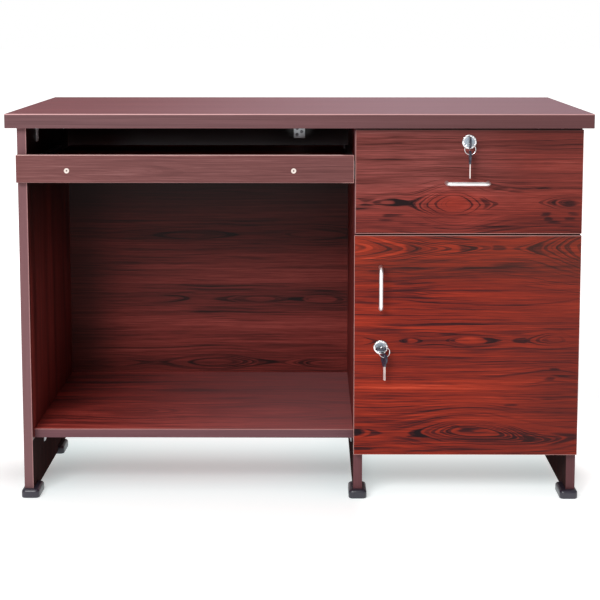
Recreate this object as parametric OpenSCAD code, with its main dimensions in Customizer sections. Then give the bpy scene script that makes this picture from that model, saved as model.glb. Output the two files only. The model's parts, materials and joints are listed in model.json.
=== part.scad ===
// Pedestal computer desk: laminated boards on plastic shoes, a sliding
// keyboard tray over the knee space, and a pedestal with one locking drawer
// over one locking cupboard. X runs to the right, the front faces -Y, Z is up,
// and the origin is under the middle of the bounding box at the floor.

/* [Overall] */
// Width of the desktop, mm
desk_width = 1140; // [1110:10:1180]
// Depth of the desktop, mm
desk_depth = 650; // [620:10:700]
// Height of the desktop's upper face, mm
desk_height = 767; // [750:1:790]

/* [Boards] */
// Thickness of the desktop, mm
top_thickness = 28; // [25:1:30]
// Overhang of the desktop past the side panels, mm
overhang = 20; // [15:1:30]

/* [Handles] */
// Distance between the two legs of a handle, mm
handle_centres = 80; // [64:1:96]
// Wire diameter of a handle, mm
handle_wire = 8; // [7:1:9]

/* [Hidden] */
$fn = 48;
T = 18;                       // board thickness
EB = 1;                       // edge strip on the boards
ET = 2;                       // edge strip on the desktop

proj = 30;                    // how far a handle stands off its front
yT = -(desk_depth + proj - 3) / 2 + proj - 3;  // desktop front edge
yTb = yT + desk_depth;        // desktop rear edge
yF = yT + 3;                  // outer face of the fronts
yFb = yF + T;                 // inner face of the fronts
yC = yFb + 1;                 // front edge of the carcass
yR = yTb - 20;                // rear edge of the side panels
yK = yTb - 63.5;              // front face of the knee space's back board
zt = desk_height - top_thickness;
zp = 7;                       // underside of the standing panels
xl0 = -desk_width / 2 + overhang;
xl1 = xl0 + T;
xr1 = desk_width / 2 - overhang;
xr0 = xr1 - T;
xp0 = xr1 - 442.5;            // partition
xp1 = xp0 + T;
zs1 = 132;                    // footrest shelf, upper face
zs0 = zs1 - T;
yS = yT + 50;                 // footrest shelf, front edge
zc0 = 93;                     // cupboard floor
zc1 = zc0 + T;
zd1 = zt - 2.5;               // drawer front, upper edge
zd0 = zt - 205;               // drawer front, lower edge
zr0 = zd0 - 11;               // rail between drawer and cupboard
zq0 = 92;                     // door, lower edge
zq1 = zd0 - 3.5;              // door, upper edge
xd0 = xp0 + 1.7;               // drawer front, left edge
zy0 = zt - 106;               // tray front
zy1 = zt - 52;
ztr = zt - 82.5;              // centre line of the tray rails
zdr = zt - 139;               // centre line of the drawer rails
yr0 = yC + 2;                 // front end of all rails
trayL = 400; drawL = 450;
yb1 = yT + 150; yb2 = yT + 520;        // brackets under the desktop
ys1 = yT + 170; ys2 = yT + 480;        // brackets under the shelf
lx = xr1 - 221; lz = zt - 26;          // drawer lock
qx = xp1 + 34.5; qz = 309;             // door lock
hx = lx - 3; hz = zt - 105.3;          // drawer handle
gx = qx - 0.8; gz = 428.2;             // door handle
hinges = [170, 450];                   // heights of the two hinges
cxh = xr1 - 24;                        // cup centre

module bx(x0, x1, y0, y1, z0, z1) translate([x0, y0, z0]) cube([x1 - x0, y1 - y0, z1 - z0]);
module cx(x, y, z, r, l) translate([x, y, z]) rotate([0, 90, 0]) cylinder(h = l, r = r);
module cy(x, y, z, r, l) translate([x, y, z]) rotate([-90, 0, 0]) cylinder(h = l, r = r);
module cz(x, y, z, r, l) translate([x, y, z]) cylinder(h = l, r = r);
wood = [0.42, 0.20, 0.16]; edge = [0.5, 0.33, 0.31]; zinc = [0.75, 0.75, 0.76];
chrome = [0.85, 0.86, 0.88]; black = [0.05, 0.06, 0.08]; pale = [0.78, 0.66, 0.5];

// ---- brackets: a corner at the origin, legs along +x and -z
B = [11, 28];
module bracket() difference() {
  union() { bx(0, 36, -10, 10, -2, 0); bx(0, 2, -10, 10, -36, 0); }
  for (b = B) { cz(b, 0, -3, 2.2, 4); cx(-1, 0, -b, 2.2, 4); }
}
module bracket_screw_set() for (b = B) {
  union() { cz(b, 0, -3.8, 3.6, 1.8); cz(b, 0, -3, 1.75, 16); }
  union() { cx(2, 0, -b, 3.6, 1.8); cx(-13, 0, -b, 1.75, 16); }
}
module bracket_holes() for (b = B) { cz(b, 0, -0.5, 1.85, 14.5); cx(-14, 0, -b, 1.85, 14.5); }
module at(x, y, z, s) translate([x, y, z]) mirror([s < 0 ? 1 : 0, 0, 0]) children();
module at_top() for (y = [yb1, yb2]) { at(xl1, y, zt, 1) children(); at(xp1, y, zt, 1) children(); at(xr0, y, zt, -1) children(); }
module at_shelf() for (y = [ys1, ys2]) { at(xl1, y, zs0, 1) children(); at(xp0, y, zs0, -1) children(); }
PB = [[-9, 53.5], [1.5, 47], [-9, 39.5], [1.5, 18]];
module perf_holes(r, l) for (p = PB) { cy(p[0], yK - 2.5, zt - p[1], r, l); cz(p[0], yK - p[1], zt - 2.5, r, l); }

// ---- rails: section drawn from the wall outwards, run along Y
module rail_sec(k, h) {
  a = h / 2; b = a - 1.5; c = b - 1.5; m = b - 5.8;
  if (k == 0) polygon([[0, -a], [0, a], [10.7, a], [10.7, a - 5.2], [9.5, a - 5.2], [9.5, a - 1.2], [1.2, a - 1.2],
    [1.2, -a + 1.2], [9.5, -a + 1.2], [9.5, -a + 5.2], [10.7, -a + 5.2], [10.7, -a]]);
  if (k == 1) polygon([[1.6, -b], [1.6, b], [9.1, b], [9.1, b - 5.2], [7.9, b - 5.2], [7.9, b - 1.2], [2.8, b - 1.2],
    [2.8, -b + 1.2], [7.9, -b + 1.2], [7.9, -b + 5.2], [9.1, -b + 5.2], [9.1, -b]]);
  if (k == 2) polygon([[12.7, -m], [12.7, m], [4.4, m], [4.4, c - 1.2], [7.5, c - 1.2], [7.5, c], [3.2, c], [3.2, m - 1.2],
    [11.5, m - 1.2], [11.5, -m + 1.2], [3.2, -m + 1.2], [3.2, -c], [7.5, -c], [7.5, -c + 1.2], [4.4, -c + 1.2], [4.4, -m]]);
}
module rail(k, h, L) difference() {
  translate([0, L, 0]) rotate([90, 0, 0]) linear_extrude(height = L) rail_sec(k, h);
  if (k == 0) for (y = [35, L / 2, L - 35]) translate([1.2, y, 0]) rotate([0, -90, 0]) cylinder(h = 1.2, r1 = 3.1, r2 = 1.9);
  if (k == 1) for (y = [35, L / 2, L - 35]) cx(0, y, 0, 5, 4);
  if (k == 2) for (y = [45, L - 45]) translate([11.5, y, 0]) rotate([0, 90, 0]) cylinder(h = 1.2, r1 = 3.1, r2 = 1.9);
}
module outer_screws(L) for (y = [35, L / 2, L - 35]) union() {
  translate([1.2, y, 0]) rotate([0, -90, 0]) cylinder(h = 1.2, r1 = 3, r2 = 1.8);
  cx(-11, y, 0, 1.75, 11.2);
}
module outer_holes(L) for (y = [35, L / 2, L - 35]) cx(-12, y, 0, 1.85, 12.5);
module inner_screws(L) for (y = [45, L - 45]) union() {
  translate([11.5, y, 0]) rotate([0, 90, 0]) cylinder(h = 1.2, r1 = 3, r2 = 1.8);
  cx(12.6, y, 0, 1.75, 9.1);
}
module inner_holes(L) for (y = [45, L - 45]) cx(12.2, y, 0, 1.85, 10.5);
module tray_side(s) at(s > 0 ? xl1 : xp0, yr0, ztr, s) children();
module drawer_side(s) at(s > 0 ? xp1 : xr0, yr0, zdr, s) children();

// ---- wire handle: legs on +y, bar at y = -26, along x
module wire_handle() {
  r = handle_wire / 2; b = 8; c = handle_centres / 2; y = -(proj - r);
  color(chrome) difference() {
    union() {
      cx(-c + b, y, 0, r, 2 * c - 2 * b);
      for (s = [-1, 1]) {
        translate([s * c, 0, 0]) rotate([90, 0, 0]) cylinder(h = -y - b, r = r);
        translate([s * (c - b), y + b, 0]) rotate([0, 0, s > 0 ? -90 : 180]) rotate_extrude(angle = 90) translate([b, 0]) circle(r = r);
      }
    }
    for (s = [-1, 1]) cy(s * c, -10, 0, 2.05, 11);
  }
}
module wire_screws() for (s = [-1, 1]) union() {
  cy(s * handle_centres / 2, T, 0, 4, 2.2);
  cy(s * handle_centres / 2, -8, 0, 2, T + 9);
}
module wire_holes() for (s = [-1, 1]) cy(s * handle_centres / 2, -1, 0, 2.3, T + 2);

// ---- cam lock: barrel through the front, nut behind, cam on the plug's tail;
// y = 0 is the inner face of the front, the cam points to +x unlocked and +z locked
module lock_at(k) if (k == 0) translate([lx, yFb, lz]) children();
  else translate([qx, yFb, qz]) rotate([0, -90, 0]) children();
function wall(k) = k == 0 ? zt - lz : qx - xp1;      // lock axis to the strike's face
function cam_l(k) = wall(k) + 8;
function cam_x(k) = sqrt(cam_l(k) * cam_l(k) - wall(k) * wall(k)) + 1.5;
module lock_case() {
  difference() { cy(0, -T - 2, 0, 10, T + 9); cy(0, -T - 3, 0, 6.05, T + 11); }
  difference() { rotate([-90, 0, 0]) cylinder(h = 5, r = 14.5, $fn = 6); cy(0, -1, 0, 10.05, 7); }
}
module lock_rose() difference() {
  union() { cy(0, -T - 2, 0, 14, 2); translate([0, -T - 2, 0]) rotate([90, 0, 0]) cylinder(h = 1, r1 = 14, r2 = 13); }
  cy(0, -T - 4, 0, 10.1, 6);
}
module lock_plug() difference() {
  union() { cy(0, -T - 2.3, 0, 6, T + 10.3); cy(0, 7.9, 0, 3.5, 2.9); }
  bx(-1.2, 1.2, -T - 3, -1.8, -4.3, 4.3);
  cy(0, 4, 0, 1.95, 8);
}
module lock_cam(k) {
  difference() {
    union() { cy(0, 8, 0, 8, 3); bx(0, cam_l(k) - 6, 8, 11, -6, 6); cy(cam_l(k) - 6, 8, 0, 6, 3); }
    cy(0, 7, 0, 3.55, 5);
  }
  difference() {
    union() { cy(0, 11, 0, 4.6, 2); cy(0, 4.4, 0, 1.9, 6.8); }
    bx(-3.5, 3.5, 12, 14, -0.6, 0.6); bx(-0.6, 0.6, 12, 14, -3.5, 3.5);
  }
}
module lock_hole() cy(0, -T - 1, 0, 10.1, T + 2);
module strike(k) lock_at(k) {
  difference() {
    bx(-16, cam_x(k) + 9, 4.5, 14.5, wall(k), wall(k) + 1.5);
    bx(-7, cam_x(k), 7.5, 11.5, wall(k) - 1, wall(k) + 3);
    for (x = [-11.5, cam_x(k) + 4.5]) translate([x, 9.5, wall(k) - 0.1]) cylinder(h = 1.7, r1 = 3, r2 = 1.6);
  }
  for (x = [-11.5, cam_x(k) + 4.5]) translate([x, 9.5, wall(k)]) union() {
    cylinder(h = 1.3, r1 = 2.8, r2 = 1.5); cylinder(h = 10, r = 1.4);
  }
}
module strike_pocket(k) lock_at(k) {
  bx(-16.2, cam_x(k) + 9.2, 4.3, 14.7, wall(k) - 1, wall(k) + 1.6);
  bx(-7, cam_x(k), 7.5, 11.5, wall(k), wall(k) + 9.5);
  for (x = [-11.5, cam_x(k) + 4.5]) translate([x, 9.5, wall(k)]) cylinder(h = 11, r = 1.5);
}
// key: tip at +y, bow towards -y, flat in the y-z plane; y = 0 is the bow's centre
module key(blade) {
  difference() {
    union() { cx(-2, 0, 0, 11, 4); bx(-2, 2, 9.5, 15.2, -4.6, 4.6); }
    cx(-3, -1, 0, 4.5, 6);
  }
  translate([0, 15.2, 0]) difference() {
    bx(-1, 1, 0, blade, -4, 4);
    bx(-2, -0.4, 2, blade + 1, -0.8, 0.8);
    for (i = [0:3]) bx(-2, 2, blade - 4 - 5 * i, blade - 2 - 5 * i, 3 - 0.5 * (i % 2), 5);
  }
}
ringR = 10.6; ringr = 0.75;
module ring_xz() rotate([90, 0, 0]) rotate_extrude() translate([ringR, 0]) circle(r = ringr, $fn = 24);
yk = -T - 17.5;               // centre of an inserted key's bow
rz0 = -2.1 - ringR;           // drawer ring centre below the lock centre
rx1 = 6.4; rz1 = -6;          // door ring centre from the lock centre
module spare() rotate([-90, 0, 0]) key(27.4);

// ---- boards
module strip_ring(x0, x1, y0, y1, z0, z1, t) difference() {
  bx(x0, x1, y0, y1, z0, z1);
  bx(x0 + t, x1 - t, y0 - 1, y1 + 1, z0 + t, z1 - t);
}
module desktop() color(wood) difference() {
  bx(-desk_width / 2 + ET, desk_width / 2 - ET, yT + ET, yTb - ET, zt, desk_height);
  at_top() bracket_holes();
  perf_holes(1.85, 16);
  strike_pocket(0);
}
module desktop_edging() color(edge) difference() {
  bx(-desk_width / 2, desk_width / 2, yT, yTb, zt, desk_height);
  bx(-desk_width / 2 + ET, desk_width / 2 - ET, yT + ET, yTb - ET, zt - 1, desk_height + 1);
}
module stand(x0) bx(x0, x0 + T, yC + EB, yR, zp, zt);
module feet_y(k) translate([0, k == 0 ? yC - 13 : k == 1 ? (yC + yR) / 2 + 22 : yR - 62, 0]) children();
fx = [[xl0 - 5, 5, [0, 1, 2]], [xp0 - 9, 9, [0, 2]], [xr1 - 31, 13, [0, 1, 2]]];  // foot left side, panel offset inside it, feet under the panel
module nail_holes() for (f = fx, k = f[2]) feet_y(k) cz(f[0] + f[1] + 9, 36, zp - 1, 1.6, 22);
module dowels_knee(r, l) for (z = [200, 430, 650]) for (x = [xl1, xp0]) cx(x - l / 2, yK + 9, z, r, l);
module dowels_floor(r, l) for (y = [yC + 40, 0, yR - 60]) for (x = [xp1, xr0]) cx(x - l / 2, y, zc0 + 9, r, l);
module dowels_rail(r, l) for (y = [yC + 20, yC + 60]) for (x = [xp1, xr0]) cx(x - l / 2, y, zr0 + 9, r, l);
module left_panel() color(wood) difference() {
  stand(xl0); at_top() bracket_holes(); at_shelf() bracket_holes(); nail_holes(); dowels_knee(4.05, 25);
  tray_side(1) outer_holes(trayL);
}
module partition() color(wood) difference() {
  stand(xp0); at_top() bracket_holes(); at_shelf() bracket_holes(); nail_holes();
  dowels_knee(4.05, 25); dowels_floor(4.05, 25); dowels_rail(4.05, 25);
  tray_side(-1) outer_holes(trayL); drawer_side(1) outer_holes(drawL);
  bx(xp1 - 6, xp1 + 1, yR - 16.5, yR - 12.2, zc0 - 0.2, zt + 1);
  strike_pocket(1);
}
module right_panel() color(wood) difference() {
  stand(xr0); at_top() bracket_holes(); nail_holes(); dowels_floor(4.05, 25); dowels_rail(4.05, 25);
  drawer_side(-1) outer_holes(drawL);
  bx(xr0 - 1, xr0 + 6, yR - 16.5, yR - 12.2, zc0 - 0.2, zt + 1);
  for (h = hinges, s = [-1, 1]) cx(xr0 - 1, yC + 37, h + s * 16, 1.85, 14);
}
module edge_strip(x0) color(edge) bx(x0, x0 + T, yC, yC + EB, zp, zt);
module panel_edging() for (x = [xl0, xp0, xr0]) edge_strip(x);
module knee_back() color(wood) difference() {
  bx(xl1, xp0, yK, yK + T, zs0, zt); dowels_knee(4.05, 25); perf_holes(1.85, 16);
}
module footrest_shelf() color(wood) difference() {
  bx(xl1, xp0, yS + EB, yK, zs0, zs1); at_shelf() bracket_holes();
}
module shelf_edging() color(edge) bx(xl1, xp0, yS, yS + EB, zs0, zs1);
module cabinet_floor() color(wood) difference() { bx(xp1, xr0, yC, yR - 16.5, zc0, zc1); dowels_floor(4.05, 25); }
module cabinet_rail() color(wood) difference() { bx(xp1, xr0, yC, yC + 80, zr0, zr0 + T); dowels_rail(4.05, 25); }
module cabinet_back() color(pale) bx(xp1 - 5.5, xr0 + 5.5, yR - 16.3, yR - 12.4, zc0, zt - 0.5);
module carcass_dowels() color(pale) { dowels_knee(4, 24); dowels_floor(4, 24); dowels_rail(4, 24); }
module rsq(w, l, r) union() {
  translate([r, 0]) square([w - 2 * r, l]); translate([0, r]) square([w, l - 2 * r]);
  for (x = [r, w - r], y = [r, l - r]) translate([x, y]) circle(r = r);
}
module foot(off, k) difference() {
  union() {
    linear_extrude(height = 12.5) rsq(36, 72, 8);
    translate([0.8, 0.8, 12]) linear_extrude(height = 2.5) rsq(34.4, 70.4, 7.2);
    translate([2.2, 2.2, 14]) linear_extrude(height = 2) rsq(31.6, 67.6, 5.8);
    translate([4.2, 4.2, 15.5]) linear_extrude(height = 2) rsq(27.6, 63.6, 3.8);
  }
  bx(off - 0.2, off + T + 0.2, k == 0 ? 12.8 : -1, k == 2 ? 62.2 : 73, zp, 20);
  cz(off + 9, 36, -1, 4.4, 3.6); cz(off + 9, 36, 1, 1.6, 8);
}
module feet() color(black) for (f = fx, k = f[2]) feet_y(k) translate([f[0], 0, 0]) foot(f[1], k);
module foot_nails() color(zinc) for (f = fx, k = f[2]) feet_y(k) union() {
  cz(f[0] + f[1] + 9, 36, 1, 4.2, 1.5); cz(f[0] + f[1] + 9, 36, 1, 1.5, 25);
}
module corner_brackets() color(zinc) { at_top() bracket(); at_shelf() bracket(); }
module bracket_screws() color(zinc) { at_top() bracket_screw_set(); at_shelf() bracket_screw_set(); }
module perforated_bracket() color(zinc) difference() {
  union() { bx(-16.5, 9, yK - 2, yK, zt - 61.5, zt); bx(-16.5, 9, yK - 61.5, yK, zt - 2, zt); }
  perf_holes(2.2, 3);
  for (p = [[1.5, 32.5], [-9, 26]]) { cy(p[0], yK - 3, zt - p[1], 2.2, 4); cz(p[0], yK - p[1], zt - 3, 2.2, 4); }
}
module perforated_bracket_screws() color(black) for (p = PB) {
  union() { cy(p[0], yK - 3.8, zt - p[1], 3.7, 1.8); cy(p[0], yK - 3, zt - p[1], 1.75, 15); }
  union() { cz(p[0], yK - p[1], zt - 3.8, 3.7, 1.8); cz(p[0], yK - p[1], zt - 3, 1.75, 15); }
}

// ---- keyboard tray
module tray_rail_outers() color(zinc) for (s = [1, -1]) tray_side(s) rail(0, 35, trayL);
module tray_rail_mids() color(zinc) for (s = [1, -1]) tray_side(s) rail(1, 35, trayL);
module tray_rail_inners() color(zinc) for (s = [1, -1]) tray_side(s) rail(2, 35, trayL);
module tray_runner_screws() color(zinc) for (s = [1, -1]) tray_side(s) inner_screws(trayL);
txs = [xl0 + 98.5, xp0 - 118.2];
module tray_board() color(wood) difference() {
  bx(xl1 + 12.7, xp0 - 12.7, yFb, yFb + 520, ztr - 8, ztr + 8);
  for (s = [1, -1]) tray_side(s) inner_holes(trayL);
  for (x = txs) cy(x, yFb - 1, ztr, 2.6, 34);
}
tx1 = xp0 - 1.2;
module tray_front() color(wood) difference() {
  bx(xl0 + EB, tx1 - EB, yF, yFb, zy0 + EB, zy1 - EB);
  for (x = txs) { cy(x, yF - 1, ztr, 2.6, T + 2); cy(x, yF - 0.1, ztr, 5.2, 1.1); }
}
module tray_front_edging() color(edge) strip_ring(xl0, tx1, yF, yFb, zy0, zy1, EB);
module tray_front_screws() color([0.9, 0.9, 0.88]) for (x = txs) difference() {
  union() { cy(x, yF - 0.8, ztr, 5, 1.8); cy(x, yF, ztr, 2.5, 50 - 1); }
  cy(x, yF - 1, ztr, 1.6, 1.5);
}

// ---- drawer
bs0 = zdr - 40; bs1 = zdr + 90;          // height of the drawer box
xb0 = xp1 + 12.7; xb1 = xr0 - 12.7;      // outside of the drawer box
yB1 = yFb + 460;                         // rear of the drawer box
module drawer_rail_outers() color(zinc) for (s = [1, -1]) drawer_side(s) rail(0, 45, drawL);
module drawer_rail_mids() color(zinc) for (s = [1, -1]) drawer_side(s) rail(1, 45, drawL);
module drawer_rail_inners() color(zinc) for (s = [1, -1]) drawer_side(s) rail(2, 45, drawL);
module bottom_slot() bx(xb0 + 5.8, xb1 - 5.8, yFb - 5.2, yB1 - 5.8, bs0 + 10, bs0 + 14.3);
module dr_dowels_f(r, l) for (x = [xb0 + 6, xb1 - 6], z = [zdr - 15, zdr + 65]) cy(x, yFb - 10, z, r, l);
module dr_dowels_b(r, d) for (z = [zdr - 15, zdr + 65]) { cx(xb0 + 4 - d, yB1 - 6, z, r, 22 + 2 * d); cx(xb1 - 26 - d, yB1 - 6, z, r, 22 + 2 * d); }
module drawer_front() color(wood) difference() {
  bx(xd0 + EB, xr1 - EB, yF, yFb, zd0 + EB, zd1 - EB);
  lock_at(0) lock_hole();
  translate([hx, yF, hz]) wire_holes();
  bottom_slot(); dr_dowels_f(3.05, 11);
}
module drawer_front_edging() color(edge) strip_ring(xd0, xr1, yF, yFb, zd0, zd1, EB);
module drawer_box_side(x0) color(pale) difference() {
  bx(x0, x0 + 12, yFb, yB1, bs0, bs1);
  bottom_slot(); dr_dowels_f(3.05, 31); dr_dowels_b(3.05, 0.3);
  for (s = [1, -1]) drawer_side(s) inner_holes(drawL);
}
module drawer_sides() for (x = [xb0, xb1 - 12]) drawer_box_side(x);
module drawer_back() color(pale) difference() {
  bx(xb0 + 12, xb1 - 12, yB1 - 12, yB1, bs0, bs1); bottom_slot(); dr_dowels_b(3.05, 0.3);
}
module drawer_bottom() color(pale) bx(xb0 + 6, xb1 - 6, yFb - 5, yB1 - 6, bs0 + 10.1, bs0 + 14.1);
module drawer_dowels() color(pale) { dr_dowels_f(3, 30); dr_dowels_b(3, 0); }
module drawer_handle() translate([hx, yF, hz]) wire_handle();
module drawer_screws() color(zinc) {
  for (s = [1, -1]) drawer_side(s) inner_screws(drawL);
  translate([hx, yF, hz]) wire_screws();
}
module drawer_lock_case() color(zinc) lock_at(0) lock_case();
module drawer_lock_rose() color(chrome) lock_at(0) lock_rose();
module drawer_lock_plug() color(zinc) lock_at(0) lock_plug();
module drawer_lock_cam() color(zinc) lock_at(0) lock_cam(0);
module drawer_key() color(black) lock_at(0) translate([0, yk, 0]) key(18);
module drawer_key_ring() color(chrome) translate([lx, yFb + yk - 1, lz + rz0]) ring_xz();
module drawer_spare_key() color(black) translate([lx, yFb + yk - 1, lz + rz0 - ringR - 3.1]) spare();

// ---- door
module door_panel() color(wood) difference() {
  bx(xp0 + EB, xr1 - EB, yF, yFb, zq0 + EB, zq1 - EB);
  lock_at(1) lock_hole();
  translate([gx, yF, gz]) rotate([0, -90, 0]) wire_holes();
  for (h = hinges) { cy(cxh, yFb - 12, h, 17.6, 13); for (s = [-1, 1]) cy(cxh - 8, yFb - 11, h + s * 24, 1.85, 12); }
}
module door_edging() color(edge) strip_ring(xp0, xr1, yF, yFb, zq0, zq1, EB);
module door_handle() translate([gx, yF, gz]) rotate([0, -90, 0]) wire_handle();
module door_screws() color(zinc) {
  translate([gx, yF, gz]) rotate([0, -90, 0]) wire_screws();
  for (h = hinges, s = [-1, 1]) union() {
    cy(cxh - 8, yFb + 0.8, h + s * 24, 3.2, 1.4); cy(cxh - 8, yFb - 10, h + s * 24, 1.75, 11);
  }
}
module hinge_cup(h) color(chrome) {
  difference() {
    union() { cy(cxh, yFb - 11.8, h, 17.5, 11.8); bx(cxh - 15, cxh - 1, yFb, yFb + 0.8, h - 29, h + 29); }
    cy(cxh, yFb - 11, h, 16.5, 13);
    for (s = [-1, 1]) cy(cxh - 8, yFb - 1, h + s * 24, 2, 3);
  }
  cz(cxh + 9, yFb - 6, h - 14, 1.5, 28);
  difference() { bx(cxh - 14, cxh + 9, yFb - 8, yFb - 4, h - 6, h + 6); cz(cxh + 9, yFb - 6, h - 7, 1.5, 14); }
}
module hinge_cups() for (h = hinges) hinge_cup(h);
module hinge_arm(h) color(chrome) difference() {
  union() {
    bx(xr0 - 2, xr0, yC + 20, yC + 54, h - 24, h + 24);
    bx(xr0 - 8, xr0, yC + 24, yC + 72, h - 8, h + 8);
    bx(xr0 - 18, xr0 - 7, yC + 6, yC + 68, h - 7, h + 7);
  }
  bx(xr0 - 17, xr0 - 6.8, yC, yC + 24, h - 5.8, h + 5.8);
  for (s = [-1, 1]) cx(xr0 - 3, yC + 37, h + s * 16, 2, 4);
}
module hinge_arms() for (h = hinges) hinge_arm(h);
module rail_and_hinge_screws() color(zinc) {
  for (s = [1, -1]) { tray_side(s) outer_screws(trayL); drawer_side(s) outer_screws(drawL); }
  for (h = hinges, s = [-1, 1]) union() {
    cx(xr0 - 3.6, yC + 37, h + s * 16, 3.4, 1.6); cx(xr0 - 2.5, yC + 37, h + s * 16, 1.75, 15);
  }
}
module door_lock_case() color(zinc) lock_at(1) lock_case();
module door_lock_rose() color(chrome) lock_at(1) lock_rose();
module door_lock_plug() color(zinc) lock_at(1) lock_plug();
module door_lock_cam() color(zinc) lock_at(1) lock_cam(1);
module door_key() color(black) lock_at(1) translate([0, yk, 0]) key(18);
module door_key_ring() color(chrome) translate([qx + rx1, yFb + yk - 1, qz + rz1]) ring_xz();
module door_spare_key() color(black) translate([qx + rx1, yFb + yk - 1, qz + rz1 - ringR - 2.1])
  rotate([0, 0, 25]) translate([0, 0, -1]) spare();
module lock_strikes() color(zinc) { strike(0); strike(1); }

desktop();
desktop_edging();
left_panel();
partition();
right_panel();
panel_edging();
knee_back();
footrest_shelf();
shelf_edging();
cabinet_floor();
cabinet_rail();
cabinet_back();
carcass_dowels();
feet();
foot_nails();
corner_brackets();
bracket_screws();
perforated_bracket();
perforated_bracket_screws();
tray_rail_outers();
drawer_rail_outers();
rail_and_hinge_screws();
lock_strikes();
hinge_arms();
tray_rail_mids();
tray_rail_inners();
tray_runner_screws();
tray_board();
tray_front();
tray_front_edging();
tray_front_screws();
drawer_rail_mids();
drawer_rail_inners();
drawer_front();
drawer_front_edging();
drawer_sides();
drawer_back();
drawer_bottom();
drawer_dowels();
drawer_handle();
drawer_screws();
drawer_lock_case();
drawer_lock_rose();
drawer_lock_plug();
drawer_lock_cam();
drawer_key();
drawer_key_ring();
drawer_spare_key();
door_panel();
door_edging();
door_handle();
door_screws();
hinge_cups();
door_lock_case();
door_lock_rose();
door_lock_plug();
door_lock_cam();
door_key();
door_key_ring();
door_spare_key();
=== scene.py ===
import json
import math

import bmesh
import bpy
from mathutils import Matrix, Vector

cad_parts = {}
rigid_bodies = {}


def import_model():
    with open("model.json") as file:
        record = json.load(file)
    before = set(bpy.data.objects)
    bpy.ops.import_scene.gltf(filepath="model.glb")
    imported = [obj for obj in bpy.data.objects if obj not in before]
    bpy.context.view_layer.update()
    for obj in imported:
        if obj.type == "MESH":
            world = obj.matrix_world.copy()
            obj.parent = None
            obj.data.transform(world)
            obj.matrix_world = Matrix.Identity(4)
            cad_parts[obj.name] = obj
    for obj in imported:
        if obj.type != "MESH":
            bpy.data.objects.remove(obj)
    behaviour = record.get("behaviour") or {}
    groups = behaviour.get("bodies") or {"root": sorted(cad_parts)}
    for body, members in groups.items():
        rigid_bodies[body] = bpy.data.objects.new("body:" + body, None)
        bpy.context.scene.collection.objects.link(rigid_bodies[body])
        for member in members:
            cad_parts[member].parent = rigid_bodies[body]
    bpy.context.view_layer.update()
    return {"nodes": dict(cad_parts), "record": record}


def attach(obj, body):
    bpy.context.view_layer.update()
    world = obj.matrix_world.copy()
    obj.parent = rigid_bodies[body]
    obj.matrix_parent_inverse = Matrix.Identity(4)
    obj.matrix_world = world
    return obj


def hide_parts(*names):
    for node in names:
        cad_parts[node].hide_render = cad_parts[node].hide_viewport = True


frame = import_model()
BODY = {n: b for b, ns in frame["record"]["behaviour"]["bodies"].items() for n in ns}


def lin(r, g, b):
    """sRGB 0..255 to linear."""
    out = []
    for v in (r, g, b):
        v = v / 255.0
        out.append(v / 12.92 if v <= 0.04045 else ((v + 0.055) / 1.055) ** 2.4)
    return (out[0], out[1], out[2], 1.0)


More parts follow.
